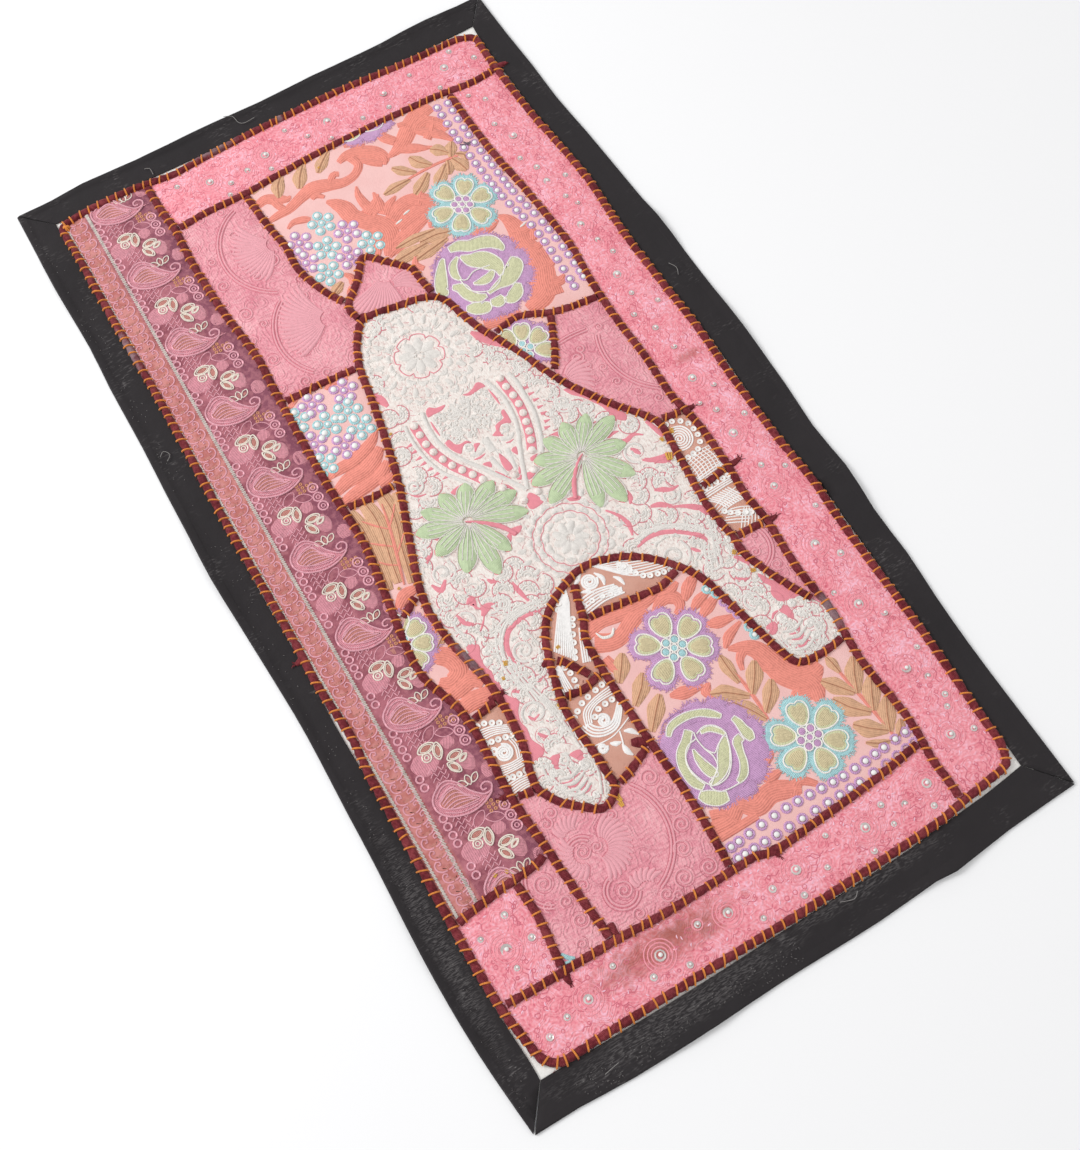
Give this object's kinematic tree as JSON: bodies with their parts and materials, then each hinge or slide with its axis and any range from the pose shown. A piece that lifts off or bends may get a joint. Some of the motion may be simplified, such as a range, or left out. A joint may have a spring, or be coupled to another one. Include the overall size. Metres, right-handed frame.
{
  "type": "patchwork textile wall hanging",
  "caption": "Flat patchwork wall hanging of embroidered pink and coral pieces with couched maroon seams and a black cotton border.",
  "frame": {"origin": "middle of the outline, on the surface that the hanging lies on", "axes": "+Z out of the worked face, +Y along the long side towards the top edge, +X along the short side"},
  "size_m": [0.5629, 1.017, 0.0062],
  "materials": {
    "ground_cotton": "plain woven white cotton, matt",
    "black_cotton": "black plain woven cotton, matt, with pale lint",
    "maroon_cord": "maroon cotton rag cord, matt, couched down",
    "orange_thread": "orange stranded cotton stitches with a little sheen",
    "sari_border": "sheer mauve ground with rose satin stitch and metallic zigzag lines",
    "bright_pink_cloth": "bright pink cloth with looping couched thread and small silver sequins",
    "pale_pink_cloth": "pale pink cloth with tone on tone radial stitching",
    "coral_cloth": "pink cloth with coral, tan, lilac and aqua satin stitch",
    "white_embroidery": "dense cream white thread embroidery on rose cloth",
    "sequin_cloth": "tan pink cloth with white thread and white ring sequins",
    "sequin_silver": "small silvered sequins and beads, shiny",
    "bead_white": "white domed stitched beads, slight sheen"
  },
  "bodies": {
    "root": {"border_bottom": "black_cotton", "border_left": "black_cotton", "border_right": "black_cotton", "border_top": "black_cotton", "cord_arch_brace": "maroon_cord", "cord_arch_foot": "maroon_cord", "cord_arch_head": "maroon_cord", "cord_arch_shelf": "maroon_cord", "cord_arch_side": "maroon_cord", "cord_bead_foot": "maroon_cord", "cord_bottom": "maroon_cord", "cord_centre": "maroon_cord", "cord_coral_foot": "maroon_cord", "cord_coral_top_foot": "maroon_cord", "cord_corner_head": "maroon_cord", "cord_corner_split": "maroon_cord", "cord_leaf_foot": "maroon_cord", "cord_left": "maroon_cord", "cord_outer": "maroon_cord", "cord_pale_coral": "maroon_cord", "cord_pale_foot": "maroon_cord", "cord_peak": "maroon_cord", "cord_right": "maroon_cord", "cord_right_tie_1": "maroon_cord", "cord_right_tie_2": "maroon_cord", "cord_right_tie_3": "maroon_cord", "cord_sequin_foot": "maroon_cord", "cord_top": "maroon_cord", "cord_wedge_side": "maroon_cord", "ground_cloth": "ground_cotton", "patch_bead_flowers": "coral_cloth", "patch_bottom_strip": "bright_pink_cloth", "patch_centre": "white_embroidery", "patch_coral_bottom": "coral_cloth", "patch_coral_left": "coral_cloth", "patch_coral_top": "coral_cloth", "patch_corner_bright": "bright_pink_cloth", "patch_corner_pale": "pale_pink_cloth", "patch_pale_bottom": "pale_pink_cloth", "patch_pale_left": "pale_pink_cloth", "patch_pale_right": "pale_pink_cloth", "patch_pale_right_low": "pale_pink_cloth", "patch_peak": "pale_pink_cloth", "patch_right_strip": "bright_pink_cloth", "patch_sari_border": "sari_border", "patch_sequin_arch_head": "sequin_cloth", "patch_sequin_arch_left": "sequin_cloth", "patch_sequin_arch_low": "sequin_cloth", "patch_sequin_left": "sequin_cloth", "patch_sequin_right_1": "sequin_cloth", "patch_sequin_right_2": "sequin_cloth", "patch_sequin_triangle": "sequin_cloth", "patch_tan_leaf": "coral_cloth", "patch_top_strip": "bright_pink_cloth", "patch_wedge": "coral_cloth"}
  },
  "joints": []
}
